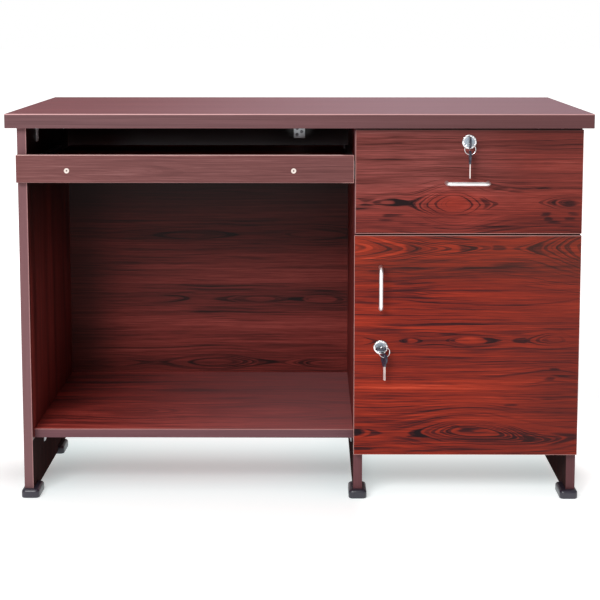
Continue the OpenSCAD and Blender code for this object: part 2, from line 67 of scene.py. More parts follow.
# ---------------------------------------------------------------- node graphs
class Graph:
    def __init__(self, name):
        self.mat = bpy.data.materials.new(name)
        self.mat.use_nodes = True
        self.nt = self.mat.node_tree
        self.nt.nodes.clear()
        self.out = self.nt.nodes.new("ShaderNodeOutputMaterial")
        self.bsdf = self.nt.nodes.new("ShaderNodeBsdfPrincipled")
        self.nt.links.new(self.bsdf.outputs[0], self.out.inputs["Surface"])
        self._xyz = None

    def put(self, sock, v):
        if isinstance(v, bpy.types.NodeSocket):
            self.nt.links.new(v, sock)
        else:
            sock.default_value = v

    def node(self, kind, outs=0, props=None, **ins):
        n = self.nt.nodes.new(kind)
        for k, v in (props or {}).items():
            setattr(n, k, v)
        for k, v in ins.items():
            self.put(n.inputs[int(k[1:]) if k[0] == "i" and k[1:].isdigit() else k.replace("_", " ")], v)
        return n.outputs[outs]

    def m(self, op, a, b=None, c=None, clamp=False):
        n = self.nt.nodes.new("ShaderNodeMath")
        n.operation = op
        n.use_clamp = clamp
        self.put(n.inputs[0], a)
        if b is not None:
            self.put(n.inputs[1], b)
        if c is not None:
            self.put(n.inputs[2], c)
        return n.outputs[0]

    def add(self, *v):
        r = v[0]
        for w in v[1:]:
            r = self.m("ADD", r, w)
        return r

    def mul(self, a, b):
        return self.m("MULTIPLY", a, b)

    def xyz(self):
        if self._xyz is None:
            tc = self.nt.nodes.new("ShaderNodeTexCoord")
            s = self.nt.nodes.new("ShaderNodeSeparateXYZ")
            self.nt.links.new(tc.outputs["Object"], s.inputs[0])
            self._xyz = (s.outputs[0], s.outputs[1], s.outputs[2])
            self.obj = tc.outputs["Object"]
        return self._xyz

    def vec(self, x, y, z):
        return self.node("ShaderNodeCombineXYZ", i0=x, i1=y, i2=z)

    def noise(self, vec, scale=1.0, detail=2.0, rough=0.5, dist=0.0):
        return self.node("ShaderNodeTexNoise", props={"noise_dimensions": "3D"}, Vector=vec, Scale=scale, Detail=detail, Roughness=rough, Distortion=dist)

    def remap(self, v, a, b, c=0.0, d=1.0, smooth=False):
        n = self.nt.nodes.new("ShaderNodeMapRange")
        n.interpolation_type = "SMOOTHSTEP" if smooth else "LINEAR"
        self.put(n.inputs["Value"], v)
        for k, w in (("From Min", a), ("From Max", b), ("To Min", c), ("To Max", d)):
            n.inputs[k].default_value = w
        return n.outputs[0]

    def ramp(self, fac, stops):
        n = self.nt.nodes.new("ShaderNodeValToRGB")
        self.put(n.inputs[0], fac)
        e = n.color_ramp.elements
        e[0].position, e[0].color = stops[0]
        e[1].position, e[1].color = stops[-1]
        for p, c in stops[1:-1]:
            k = e.new(p)
            k.color = c
        return n.outputs[0]

    def mix(self, fac, a, b, blend="MIX"):
        n = self.nt.nodes.new("ShaderNodeMix")
        n.data_type = "RGBA"
        n.blend_type = blend
        self.put(n.inputs[0], fac)
        self.put(n.inputs[6], a)
        self.put(n.inputs[7], b)
        return n.outputs[2]

    def bump(self, height, strength, dist):
        n = self.nt.nodes.new("ShaderNodeBump")
        n.inputs["Strength"].default_value = strength
        n.inputs["Distance"].default_value = dist
        self.put(n.inputs["Height"], height)
        self.nt.links.new(n.outputs[0], self.bsdf.inputs["Normal"])

    def set(self, **kw):
        for k, v in kw.items():
            self.put(self.bsdf.inputs[k.replace("_", " ")], v)


# ---------------------------------------------------------------- wood print
RED = [(0.0, lin(26, 12, 16)), (0.20, lin(60, 20, 22)), (0.42, lin(100, 29, 22)), (0.62, lin(128, 37, 23)), (0.82, lin(156, 48, 28)), (1.0, lin(184, 68, 44))]
DULL = [(0.0, lin(26, 12, 12)), (0.31, lin(90, 40, 36)), (0.46, lin(106, 52, 48)), (0.57, lin(119, 60, 56)), (0.66, lin(128, 62, 58)), (0.76, lin(142, 80, 76)), (1.0, lin(165, 106, 100))]
BROWN = [(0.0, lin(30, 13, 13)), (0.25, lin(58, 22, 21)), (0.5, lin(92, 33, 30)), (0.75, lin(124, 47, 42)), (1.0, lin(154, 68, 62))]
MAUVE = [(0.0, lin(66, 34, 34)), (0.35, lin(92, 52, 51)), (0.55, lin(103, 60, 59)), (1.0, lin(136, 92, 90))]
SHELFW = [(0.0, lin(34, 10, 10)), (0.25, lin(74, 22, 19)), (0.5, lin(116, 36, 30)), (0.75, lin(160, 52, 42)), (1.0, lin(204, 84, 72))]
TOPW = [(0.0, lin(94, 40, 42)), (0.5, lin(124, 62, 65)), (1.0, lin(148, 82, 85))]


def bell(g, at, centre, half):
    """exp(-r*r), r measured from a centre in units of the half widths."""
    n = g.nt.nodes.new("ShaderNodeVectorMath")
    n.operation = "MULTIPLY_ADD"
    g.put(n.inputs[0], at)
    n.inputs[1].default_value = [1.0 / h if h else 0.0 for h in half]
    n.inputs[2].default_value = [-c / h if h else 0.0 for c, h in zip(centre, half)]
    q = g.nt.nodes.new("ShaderNodeVectorMath")
    q.operation = "DOT_PRODUCT"
    g.nt.links.new(n.outputs[0], q.inputs[0])
    g.nt.links.new(n.outputs[0], q.inputs[1])
    return g.m("POWER", 0.36787944, q.outputs["Value"])


def height(s, c, ridge, period, round_, hills, lifts):
    """The figure's height at a point of the board, without the fine wander."""
    def e(x0, c0, a, b):
        return math.exp(-((s - x0) / a) ** 2 - ((c - c0) / b) ** 2)
    cw = c - sum(h * e(x0, c0, a, b) for x0, c0, a, b, h in lifts) - ridge
    half = period / 2
    d = cw % (2 * half)
    d = 2 * half - d if d > half else d
    return round_ - math.sqrt(d * d + round_ * round_) + sum(h * e(x0, c0, a, b) for x0, c0, a, b, h in hills)


def wood(name, along, across, seed, ridge=0.0, period=0.184, round_=0.006, hills=(), lifts=(), darks=(), tips=(), tone_and_light_washes=(), tints_and_painted_light=(),
         stops=RED, shift=0.0, contrast=1.0, line=1.0, fine=1.0, rough=0.42, spec=0.16, coat=0.0, wander=1.0):
    """Printed flat-sawn figure: bands and dark lines follow the level lines of a height. The height falls away on both
    sides of ridges that lie a period apart, and hills on a ridge close the lines into eyes and arches. A tip is a dark
    line along the level line through (x0, c0), kept to the part of it near that point."""
    g = Graph(name)
    x, y, z = g.xyz()
    s, c = along(g, x, y, z), across(g, x, y, z)
    w1 = g.m("SUBTRACT", g.noise(g.vec(g.mul(s, 2.6), g.mul(c, 5.0), seed), detail=1.0), 0.5)
    w2 = g.m("SUBTRACT", g.noise(g.vec(g.mul(s, 13.0), g.mul(c, 34.0), seed + 3.7), detail=2.0), 0.5)
    cw = g.add(c, g.mul(w1, 0.016 * wander), g.mul(w2, 0.0052))
    here = g.vec(s, c, 0.0)
    for (x0, c0, a, b, h) in lifts:
        cw = g.m("MULTIPLY_ADD", bell(g, here, (x0, c0, 0), (a, b, 0)), -h, cw)
    d = g.m("PINGPONG", g.m("SUBTRACT", cw, ridge), period / 2)
    f = g.m("SUBTRACT", round_, g.m("SQRT", g.add(g.mul(d, d), round_ * round_)))
    wavy = g.vec(g.add(s, g.mul(w2, 0.03)), c, 0.0)
    for (x0, c0, a, b, h) in hills:
        f = g.m("MULTIPLY_ADD", bell(g, wavy, (x0, c0, 0), (a, b, 0)), h, f)
    broad = g.noise(g.vec(g.mul(s, 1.1), seed + 11.0, g.mul(f, 34.0)), detail=1.0)
    band = g.noise(g.vec(g.mul(s, 2.2), seed + 5.0, g.mul(f, 105.0)), detail=2.0, rough=0.6)
    thin = g.noise(g.vec(g.mul(s, 3.4), seed + 29.0, g.mul(f, 215.0)), detail=1.0)
    fade = g.remap(g.noise(g.vec(g.mul(s, 5.0), seed + 41.0, g.mul(c, 22.0)), detail=1.0), 0.36, 0.60, 0.25, 1.0, smooth=True)
    cs = g.add(c, g.mul(w1, 0.010 * wander), g.mul(w2, 0.0020))
    streak = g.noise(g.vec(g.mul(s, 4.8), g.mul(cs, 390.0), seed + 17.0), detail=3.0, rough=0.75)
    pore = g.noise(g.vec(g.mul(s, 24.0), g.mul(cs, 1250.0), seed + 23.0), detail=1.0)
    dark = g.mul(g.mul(g.remap(band, 0.55, 0.66, 0.0, 1.0, smooth=True), fade), 0.22 * line)
    hair = g.mul(g.mul(g.remap(thin, 0.56, 0.63, 0.0, 1.0, smooth=True), fade), 0.26 * line)
    u = g.add(0.56 + shift, g.mul(g.m("SUBTRACT", broad, 0.5), 0.72 * contrast), g.mul(g.m("SUBTRACT", streak, 0.5), 1.10 * fine))
    u = g.m("SUBTRACT", g.m("SUBTRACT", u, dark), hair)
    u = g.m("SUBTRACT", u, g.mul(g.remap(pore, 0.58, 0.70), 0.16 * fine))
    u = g.add(u, g.mul(g.remap(pore, 0.42, 0.30), 0.10 * fine))
    # Washes shift the print's tone by place; some of them paint light.
    for (x0, c0, a, b, k) in tone_and_light_washes:
        u = g.m("MULTIPLY_ADD", bell(g, here, (x0, c0, 0), (a, b, 0)), k, u)
    rough_at = g.vec(g.add(s, g.mul(w2, 0.045)), g.add(c, g.mul(w2, 0.010), g.mul(g.m("SUBTRACT", streak, 0.5), 0.018)), 0.0)
    for (x0, c0, a, b, k) in darks:
        u = g.m("MULTIPLY_ADD", g.remap(bell(g, rough_at, (x0, c0, 0), (a, b, 0)), 0.30, 0.80, 0.0, 1.0, smooth=True), -k, u)
    ringed = g.vec(s, c, f)
    for (x0, c0, a, b, w, k) in tips:
        level = height(x0, c0, ridge, period, round_, hills, lifts)
        u = g.m("MULTIPLY_ADD", g.remap(bell(g, ringed, (x0, c0, level), (a, b, w)), 0.18, 0.62, 0.0, 1.0, smooth=True), -k, u)
    u = g.m("MAXIMUM", g.m("MINIMUM", u, 1.0), 0.0)
    col = g.ramp(u, stops)
    # Tints laid over the print by place; most of them are painted light: shade, shadow, sheen and reflection.
    for fac, tint in tints_and_painted_light:
        col = g.mix(fac(g, x, y, z), col, g.ramp(u, tint) if isinstance(tint, list) else tint)
    g.set(Base_Color=col, Roughness=g.add(rough, g.mul(g.m("SUBTRACT", streak, 0.5), 0.10)))
    g.bsdf.inputs["Specular IOR Level"].default_value = spec
    if coat:
        g.bsdf.inputs["Coat Weight"].default_value = coat
        g.bsdf.inputs["Coat Roughness"].default_value = 0.25
    g.bump(g.add(streak, g.mul(pore, 0.5)), 0.12, 0.0004)
    return g.mat


def ax(i, k=1.0):
    return lambda g, x, y, z: g.mul((x, y, z)[i], k)


def yz(g, x, y, z):
    return g.add(y, z)


M = {}
M["drawer"] = wood("wood_drawer_front", ax(0), ax(2), 3.1, spec=0.10, ridge=0.594, period=0.30, round_=0.007, shift=0.0, wander=0.7,
    hills=[(0.300, 0.594, 0.060, 0.050, 0.050), (0.170, 0.598, 0.040, 0.026, 0.012), (0.400, 0.600, 0.030, 0.020, 0.007), (0.530, 0.590, 0.056, 0.030, 0.024), (0.100, 0.600, 0.030, 0.020, 0.012)],
    lifts=[(0.300, 0.560, 0.120, 0.035, -0.008), (0.500, 0.560, 0.060, 0.030, 0.010)],
    tips=[(0.264, 0.594, 0.060, 0.020, 0.0016, 0.34), (0.250, 0.594, 0.070, 0.024, 0.0012, 0.34), (0.236, 0.594, 0.080, 0.028, 0.0012, 0.36), (0.222, 0.594, 0.050, 0.030, 0.0014, 0.34), (0.206, 0.594, 0.040, 0.030, 0.0016, 0.40),
          (0.196, 0.596, 0.016, 0.012, 0.0030, 0.28), (0.362, 0.597, 0.014, 0.014, 0.0040, 0.34), (0.378, 0.597, 0.030, 0.020, 0.0012, 0.34), (0.334, 0.594, 0.040, 0.020, 0.0015, 0.36), (0.348, 0.595, 0.060, 0.024, 0.0011, 0.30), (0.160, 0.598, 0.030, 0.020, 0.0012, 0.30), (0.130, 0.600, 0.020, 0.014, 0.0020, 0.36),
          (0.488, 0.596, 0.016, 0.010, 0.0034, 0.34), (0.505, 0.594, 0.030, 0.016, 0.0014, 0.34), (0.522, 0.592, 0.016, 0.010, 0.0030, 0.32), (0.470, 0.596, 0.05, 0.03, 0.0012, 0.30)],
    darks=[(0.389, 0.6217, 0.020, 0.0026, 0.40), (0.478, 0.6230, 0.018, 0.0026, 0.42), (0.425, 0.6180, 0.020, 0.0016, 0.25),
           (0.182, 0.570, 0.022, 0.0046, 0.36), (0.170, 0.561, 0.020, 0.0030, 0.30), (0.486, 0.563, 0.012, 0.0046, 0.34), (0.498, 0.556, 0.018, 0.0030, 0.32), (0.474, 0.571, 0.014, 0.0030, 0.36), (0.541, 0.574, 0.016, 0.0036, 0.32), (0.533, 0.566, 0.012, 0.0026, 0.34),
           (0.116, 0.584, 0.026, 0.0026, 0.36), (0.140, 0.590, 0.02, 0.0018, 0.30), (0.530, 0.548, 0.030, 0.0026, 0.30), (0.230, 0.556, 0.040, 0.0022, 0.24), (0.400, 0.548, 0.050, 0.0020, 0.22), (0.340, 0.570, 0.050, 0.0018, 0.22)],
    tone_and_light_washes=[(0.300, 0.594, 0.034, 0.012, 0.12), (0.255, 0.596, 0.012, 0.016, 0.10), (0.340, 0.586, 0.020, 0.010, 0.10), (0.400, 0.560, 0.100, 0.014, 0.03), (0.300, 0.700, 0.300, 0.030, -0.10), (0.240, 0.672, 0.030, 0.010, 0.10),
            (0.500, 0.672, 0.050, 0.008, 0.10), (0.300, 0.650, 0.300, 0.012, -0.08), (0.160, 0.635, 0.060, 0.010, -0.06), (0.330, 0.545, 0.5, 0.030, -0.13), (0.330, 0.580, 0.5, 0.020, -0.04)],
    tints_and_painted_light=[(lambda g, x, y, z: g.mul(g.remap(z, 0.545, 0.66, 0.40, 1.0, smooth=True), g.mul(g.remap(x, 0.32, 0.46, 1.0, 0.5, smooth=True), g.remap(bell(g, g.vec(x, z, 0.0), (0.300, 0.594, 0), (0.080, 0.028, 0)), 0.0, 1.0, 1.0, 0.25))), DULL),
          # painted shade: darker towards the right end, where less light falls from the key light on the left
          (lambda g, x, y, z: g.remap(x, 0.33, 0.44, 0.0, 0.28, smooth=True), lin(60, 31, 27)),
          # painted shadow of the desktop's overhang: darker along the top of the drawer front
          (lambda g, x, y, z: g.remap(z, 0.7200, 0.7362, 0.0, 0.74), lin(40, 18, 18))])
M["door"] = wood("wood_door", ax(0), ax(2), 8.6, spec=0.10, ridge=0.506, round_=0.006, shift=0.015, wander=0.6, contrast=0.92, line=1.1, fine=1.12,
    hills=[(0.040, 0.506, 0.210, 0.080, 0.060), (0.600, 0.506, 0.105, 0.080, 0.075), (0.300, 0.506, 0.050, 0.020, 0.004),
           (0.330, 0.324, 0.044, 0.014, 0.013), (0.500, 0.328, 0.040, 0.020, 0.017), (0.216, 0.322, 0.026, 0.012, 0.007), (0.110, 0.322, 0.040, 0.020, 0.012),
           (0.335, 0.138, 0.100, 0.050, 0.040), (0.470, 0.130, 0.080, 0.040, 0.012), (0.100, 0.135, 0.050, 0.03, 0.012)],
    lifts=[(0.341, 0.130, 0.080, 0.060, 0.008), (0.470, 0.130, 0.100, 0.060, -0.012), (0.300, 0.070, 4.0, 0.060, -0.008), (0.500, 0.255, 0.060, 0.030, 0.012), (0.250, 0.420, 0.12, 0.03, 0.005)],
    tips=[(0.178, 0.506, 0.090, 0.030, 0.0014, 0.30), (0.200, 0.506, 0.120, 0.034, 0.0012, 0.34), (0.221, 0.506, 0.018, 0.010, 0.0036, 0.32), (0.232, 0.506, 0.160, 0.050, 0.0012, 0.34), (0.262, 0.506, 0.160, 0.050, 0.0010, 0.30), (0.292, 0.506, 0.160, 0.050, 0.0010, 0.34),
          (0.330, 0.506, 0.022, 0.012, 0.0038, 0.32), (0.338, 0.506, 0.160, 0.060, 0.0011, 0.36), (0.362, 0.506, 0.120, 0.060, 0.0010, 0.28), (0.390, 0.506, 0.014, 0.008, 0.0018, 0.36), (0.150, 0.506, 0.070, 0.030, 0.0012, 0.26),
          (0.462, 0.506, 0.022, 0.012, 0.0040, 0.36), (0.452, 0.506, 0.090, 0.050, 0.0012, 0.36), (0.478, 0.506, 0.090, 0.050, 0.0014, 0.36), (0.500, 0.506, 0.060, 0.030, 0.0012, 0.34), (0.522, 0.506, 0.05, 0.024, 0.0014, 0.30),
          (0.300, 0.324, 0.030, 0.014, 0.0012, 0.34), (0.290, 0.324, 0.040, 0.020, 0.0010, 0.34), (0.376, 0.3235, 0.018, 0.008, 0.0026, 0.48), (0.386, 0.3235, 0.040, 0.020, 0.0010, 0.34), (0.434, 0.3225, 0.016, 0.008, 0.0030, 0.48), (0.452, 0.3240, 0.050, 0.020, 0.0012, 0.36),
          (0.470, 0.3240, 0.040, 0.020, 0.0012, 0.34), (0.204, 0.3225, 0.012, 0.006, 0.0014, 0.40), (0.196, 0.3225, 0.030, 0.014, 0.0010, 0.34), (0.236, 0.3225, 0.018, 0.010, 0.0012, 0.34), (0.150, 0.3220, 0.03, 0.014, 0.0012, 0.34),
          (0.395, 0.1330, 0.120, 0.040, 0.0014, 0.40), (0.410, 0.1300, 0.130, 0.044, 0.0011, 0.36), (0.424, 0.1270, 0.140, 0.050, 0.0011, 0.40), (0.440, 0.1260, 0.140, 0.050, 0.0010, 0.36), (0.456, 0.1250, 0.016, 0.012, 0.0034, 0.48), (0.462, 0.1250, 0.150, 0.056, 0.0012, 0.40),
          (0.476, 0.1250, 0.150, 0.060, 0.0010, 0.34), (0.492, 0.1240, 0.150, 0.070, 0.0011, 0.38), (0.510, 0.1230, 0.150, 0.070, 0.0010, 0.34), (0.530, 0.1220, 0.040, 0.020, 0.0022, 0.44), (0.300, 0.1450, 0.040, 0.020, 0.0014, 0.36), (0.284, 0.1430, 0.040, 0.024, 0.0011, 0.34),
          (0.232, 0.1330, 0.026, 0.012, 0.0040, 0.46), (0.150, 0.1340, 0.030, 0.014, 0.0014, 0.34), (0.116, 0.1390, 0.02, 0.010, 0.0024, 0.40)],
    darks=[(0.210, 0.466, 0.070, 0.0028, 0.30), (0.170, 0.459, 0.060, 0.0022, 0.28), (0.412, 0.472, 0.050, 0.0034, 0.38), (0.380, 0.466, 0.070, 0.0022, 0.30), (0.520, 0.470, 0.050, 0.0028, 0.28), (0.225, 0.436, 0.050, 0.0022, 0.26), (0.340, 0.421, 0.090, 0.0020, 0.22),
           (0.515, 0.345, 0.040, 0.0020, 0.30), (0.200, 0.337, 0.060, 0.0020, 0.26), (0.290, 0.336, 0.080, 0.0018, 0.26), (0.450, 0.334, 0.050, 0.0018, 0.28), (0.300, 0.309, 0.090, 0.0018, 0.24), (0.460, 0.300, 0.070, 0.0018, 0.24),
           (0.500, 0.2655, 0.013, 0.0024, 0.46), (0.488, 0.2630, 0.030, 0.0014, 0.34), (0.493, 0.2465, 0.014, 0.0024, 0.40), (0.520, 0.2520, 0.030, 0.0016, 0.34), (0.412, 0.1915, 0.018, 0.0020, 0.36), (0.460, 0.2050, 0.08, 0.0018, 0.28),
           (0.345, 0.1470, 0.032, 0.0046, 0.46), (0.330, 0.1410, 0.026, 0.0034, 0.42), (0.358, 0.1380, 0.020, 0.0026, 0.38), (0.308, 0.1500, 0.014, 0.0018, 0.34), (0.226, 0.1290, 0.020, 0.0034, 0.42), (0.112, 0.1430, 0.014, 0.0030, 0.34),
           (0.150, 0.1060, 0.060, 0.0022, 0.34), (0.135, 0.1130, 0.040, 0.0018, 0.30), (0.250, 0.100, 0.05, 0.0022, 0.28), (0.112, 0.172, 0.02, 0.002, 0.26)],
    tone_and_light_washes=[(0.540, 0.506, 0.040, 0.016, 0.16), (0.270, 0.506, 0.034, 0.012, 0.12), (0.130, 0.506, 0.050, 0.014, 0.10), (0.150, 0.404, 0.090, 0.010, 0.14), (0.110, 0.360, 0.050, 0.014, 0.12), (0.500, 0.420, 0.12, 0.030, -0.06), (0.520, 0.260, 0.070, 0.050, -0.10), (0.530, 0.200, 0.080, 0.030, -0.08),
            (0.335, 0.325, 0.024, 0.0045, 0.18), (0.180, 0.235, 0.120, 0.012, 0.10), (0.330, 0.165, 0.060, 0.008, 0.10), (0.150, 0.125, 0.060, 0.008, 0.12), (0.400, 0.150, 0.05, 0.02, 0.06), (0.350, 0.260, 0.060, 0.03, 0.04), (0.300, 0.210, 0.20, 0.03, 0.08), (0.32, 0.455, 0.3, 0.02, -0.08), (0.32, 0.220, 0.5, 0.05, 0.07), (0.32, 0.390, 0.5, 0.05, 0.05),
            (0.100, 0.280, 0.090, 0.30, 0.09), (0.350, 0.466, 0.4, 0.016, -0.10)],
    # painted shade: darker towards the right, where less light falls from the key light on the left
    tints_and_painted_light=[(lambda g, x, y, z: g.remap(x, 0.20, 0.55, 0.0, 0.34, smooth=True), lin(78, 38, 34)),
          (lambda g, x, y, z: g.remap(z, 0.41, 0.48, 0.0, 0.085, smooth=True), lin(122, 74, 50))])
M["knee"] = wood("wood_knee_back", ax(0), ax(2), 14.2, stops=BROWN, ridge=0.305, period=0.15, round_=0.006, shift=0.05, line=0.9, contrast=1.0,
    hills=[(-0.330, 0.305, 0.080, 0.024, 0.016), (-0.100, 0.303, 0.070, 0.022, 0.014), (0.050, 0.306, 0.060, 0.020, 0.014), (-0.480, 0.305, 0.060, 0.020, 0.010),
           (-0.200, 0.155, 0.110, 0.036, 0.028), (0.060, 0.155, 0.090, 0.034, 0.026), (-0.440, 0.155, 0.090, 0.030, 0.020), (-0.250, 0.455, 0.120, 0.030, 0.016), (0.020, 0.455, 0.090, 0.030, 0.014)],
    tips=[(-0.270, 0.305, 0.060, 0.020, 0.0014, 0.30), (-0.180, 0.304, 0.040, 0.016, 0.0018, 0.34), (-0.040, 0.303, 0.050, 0.018, 0.0014, 0.30), (-0.010, 0.304, 0.020, 0.010, 0.0026, 0.34), (0.090, 0.305, 0.020, 0.012, 0.0020, 0.30),
          (-0.130, 0.155, 0.090, 0.034, 0.0014, 0.30), (-0.105, 0.155, 0.090, 0.034, 0.0012, 0.30), (-0.080, 0.155, 0.030, 0.016, 0.0026, 0.32), (-0.260, 0.155, 0.060, 0.030, 0.0014, 0.26), (0.000, 0.155, 0.050, 0.024, 0.0014, 0.30),
          (0.020, 0.155, 0.060, 0.030, 0.0012, 0.28), (-0.360, 0.155, 0.060, 0.030, 0.0014, 0.26), (-0.160, 0.455, 0.080, 0.030, 0.0014, 0.24), (-0.330, 0.455, 0.080, 0.030, 0.0014, 0.22)],
    darks=[(-0.250, 0.318, 0.100, 0.0026, 0.20), (-0.060, 0.290, 0.100, 0.0024, 0.20), (0.060, 0.322, 0.060, 0.0030, 0.24), (-0.300, 0.276, 0.140, 0.0024, 0.18), (-0.100, 0.218, 0.160, 0.0030, 0.16), (0.000, 0.196, 0.120, 0.0028, 0.18)],
    tone_and_light_washes=[(-0.120, 0.368, 0.280, 0.024, 0.16), (-0.300, 0.250, 0.300, 0.012, 0.18), (-0.050, 0.240, 0.200, 0.010, 0.12), (-0.100, 0.345, 0.300, 0.010, 0.08), (-0.150, 0.180, 0.400, 0.030, 0.06), (-0.300, 0.328, 0.200, 0.008, -0.08), (-0.400, 0.220, 0.090, 0.060, 0.10)],
    # painted shadow of the left panel: darker at the back's left end
    tints_and_painted_light=[(lambda g, x, y, z: g.mul(g.remap(x, -0.40, -0.505, 0.0, 0.62, smooth=True), g.remap(y, 0.276, 0.278, 1.0, 0.0)), lin(40, 12, 9)),
          # painted shade under the tray: darker towards the top of the back
          (lambda g, x, y, z: g.mul(g.remap(z, 0.40, 0.58, 0.0, 0.90, smooth=True), g.remap(y, 0.276, 0.278, 1.0, 0.0)), lin(34, 24, 24)),
          # painted light in the gap: neutral grey over the wood at the back's top, where the gap under the desktop
          # shows it
          (lambda g, x, y, z: g.mul(g.mul(g.remap(z, 0.60, 0.66, 0.0, 0.9, smooth=True), g.remap(x, -0.45, -0.36, 0.0, 1.0, smooth=True)), g.mul(g.remap(y, 0.276, 0.278, 1.0, 0.0), g.remap(x, 0.0, 0.12, 1.0, 0.5))), lin(76, 73, 75)),
          # painted shade: near-black patch on the back around the bracket, where the gap light falls
          (lambda g, x, y, z: g.mul(bell(g, g.vec(x, z, 0.0), (-0.004, 0.712, 0), (0.050, 0.050, 0)), g.remap(y, 0.276, 0.278, 0.94, 0.0)), lin(16, 15, 16))])
M["shelf"] = wood("wood_shelf", ax(0), lambda g, x, y, z: g.add(g.mul(y, 0.32), z), 21.7, stops=SHELFW, ridge=0.10, period=0.12, shift=0.06, fine=1.1, contrast=1.1, line=1.2, rough=0.34, coat=0.20,
    # the first wash paints light on the front of the shelf, fading towards the back
    hills=[(-0.35, 0.10, 0.12, 0.03, 0.02), (-0.05, 0.10, 0.10, 0.03, 0.018)], tone_and_light_washes=[(-0.20, 0.045, 2.0, 0.070, 0.24), (-0.50, 0.120, 0.10, 0.050, -0.10)],
    # painted sheen: lighter, paler colour towards the right
    tints_and_painted_light=[(lambda g, x, y, z: g.remap(x, -0.45, 0.06, 0.06, 0.50, smooth=True), lin(184, 128, 132))])
M["tray"] = wood("wood_tray_board", ax(0), lambda g, x, y, z: g.add(g.mul(y, 0.32), z), 53.1, stops=SHELFW, ridge=0.62, period=0.16, shift=0.06, rough=0.62, spec=0.06,
    hills=[(-0.35, 0.62, 0.12, 0.03, 0.02), (-0.05, 0.62, 0.10, 0.03, 0.018)])
M["top"] = wood("wood_desktop", ax(0), lambda g, x, y, z: g.add(g.mul(y, 0.40), z), 27.3, stops=TOPW, ridge=0.78, period=0.16, line=0.5, contrast=0.8, fine=1.0, rough=0.56, spec=0.12,
    hills=[(-0.30, 0.78, 0.20, 0.04, 0.03), (0.20, 0.78, 0.16, 0.04, 0.03)],
    # painted reflection: lighter, paler colour towards the right of the top
    tints_and_painted_light=[(lambda g, x, y, z: g.remap(x, -0.52, 0.30, 0.10, 0.62, smooth=True), lin(178, 144, 154))])
# the wash paints light on the lower part of the panels, around 0.17 m up
SIDE = dict(stops=BROWN, ridge=-0.08, period=0.26, shift=0.04, tone_and_light_washes=[(0.17, 0.0, 0.12, 2.0, 0.08)],
    hills=[(0.45, -0.08, 0.16, 0.08, 0.05), (0.10, -0.08, 0.10, 0.06, 0.03), (0.62, 0.18, 0.12, 0.06, 0.035), (0.25, 0.18, 0.14, 0.06, 0.04)])
M["side"] = wood("wood_side_panels", ax(2), lambda g, x, y, z: g.add(y, g.mul(x, 0.6)), 33.9, tints_and_painted_light=[
    # painted shade: near-black over the upper inner face of the left panel in the knee space
    (lambda g, x, y, z: g.mul(g.mul(g.remap(z, 0.40, 0.62, 0.0, 0.92), g.remap(y, 0.276, 0.270)), g.mul(g.remap(g.m("ABSOLUTE", x), 0.5405, 0.5395), g.remap(x, 0.0, -0.1))), lin(10, 3, 2))], **SIDE)
# painted shade: the panels' inner faces below the shelf get dark grey over the wood, and no specular
M["side_low"] = wood("wood_side_lower", ax(2), lambda g, x, y, z: g.add(y, g.mul(x, 0.6)), 33.9, spec=0.0, tints_and_painted_light=[
    (lambda g, x, y, z: g.remap(z, 0.0, 0.114, 0.86, 0.95), lin(42, 38, 38))], **SIDE)
M["inner"] = wood("wood_cupboard_boards", ax(0), yz, 39.5, stops=BROWN, ridge=0.05, period=0.26, shift=0.05)
M["strip"] = wood("wood_tray_front", ax(0), ax(2), 45.2, stops=MAUVE, ridge=0.655, period=0.40, line=0.55, contrast=0.8, fine=1.0, rough=0.40, spec=0.18,
    hills=[(-0.33, 0.655, 0.10, 0.03, 0.020), (-0.05, 0.650, 0.08, 0.03, 0.016)], tone_and_light_washes=[(-0.46, 0.660, 0.12, 0.03, 0.06), (0.05, 0.66, 0.10, 0.05, -0.05)])


def plastic_edge(name, a, b, across=2, rough=0.38, spec=0.3, over=None):
    g = Graph(name)
    x, y, z = g.xyz()
    n = g.noise(g.vec(*[g.mul(v, 700.0 if i == across else 8.0) for i, v in enumerate((x, y, z))]), detail=2.0)
    n2 = g.noise(g.vec(*[g.mul(v, 60.0 if i == across else 2.0) for i, v in enumerate((x, y, z))]), detail=1.0)
    t = g.add(g.mul(n, 0.6), g.mul(n2, 0.4))
    col = g.ramp(g.remap(t, 0.3, 0.7), [(0.0, a), (1.0, b)])
    for fac, tint in over or ():
        col = g.mix(fac(g, x, y, z), col, tint)
    g.set(Base_Color=col, Roughness=g.add(rough, g.mul(n, 0.08)))
    g.bsdf.inputs["Specular IOR Level"].default_value = spec
    g.bump(n, 0.08, 0.0003)
    return g.mat


M["edge_top"] = plastic_edge("edge_desktop", lin(77, 42, 45), lin(100, 61, 64), rough=0.30, spec=0.4, over=(
    # painted shade: darker and redder towards the right, away from the key light
    (lambda g, x, y, z: g.remap(x, -0.15, 0.45, 0.0, 0.50, smooth=True), lin(74, 28, 27)),
    # painted highlight: a pale line along the desktop edging's top front rim
    (lambda g, x, y, z: g.mul(g.mul(g.remap(z, 0.7645, 0.7660), g.remap(y, -0.3085, -0.3100)), g.remap(x, -0.2, 0.5, 0.85, 0.75)), lin(214, 164, 164))))
M["edge_v"] = plastic_edge("edge_panels", lin(85, 44, 48), lin(102, 58, 63), across=0, over=(
    # painted light: the left panel's front edge lighter, most towards the bottom
    (lambda g, x, y, z: g.mul(g.remap(x, -0.50, -0.51), g.remap(z, 0.75, 0.05, 0.25, 0.55)), lin(126, 92, 94)),
    # painted highlight: a pale line along the left panel edging's inner rim
    (lambda g, x, y, z: g.mul(g.remap(x, -0.50, -0.51), g.remap(x, -0.5338, -0.5330, 0.0, 0.55)), lin(186, 140, 138)),
    # painted shade: the right panel's front edge darker, away from the key light
    (lambda g, x, y, z: g.remap(x, 0.50, 0.54, 0.0, 0.35), lin(70, 32, 30)),))
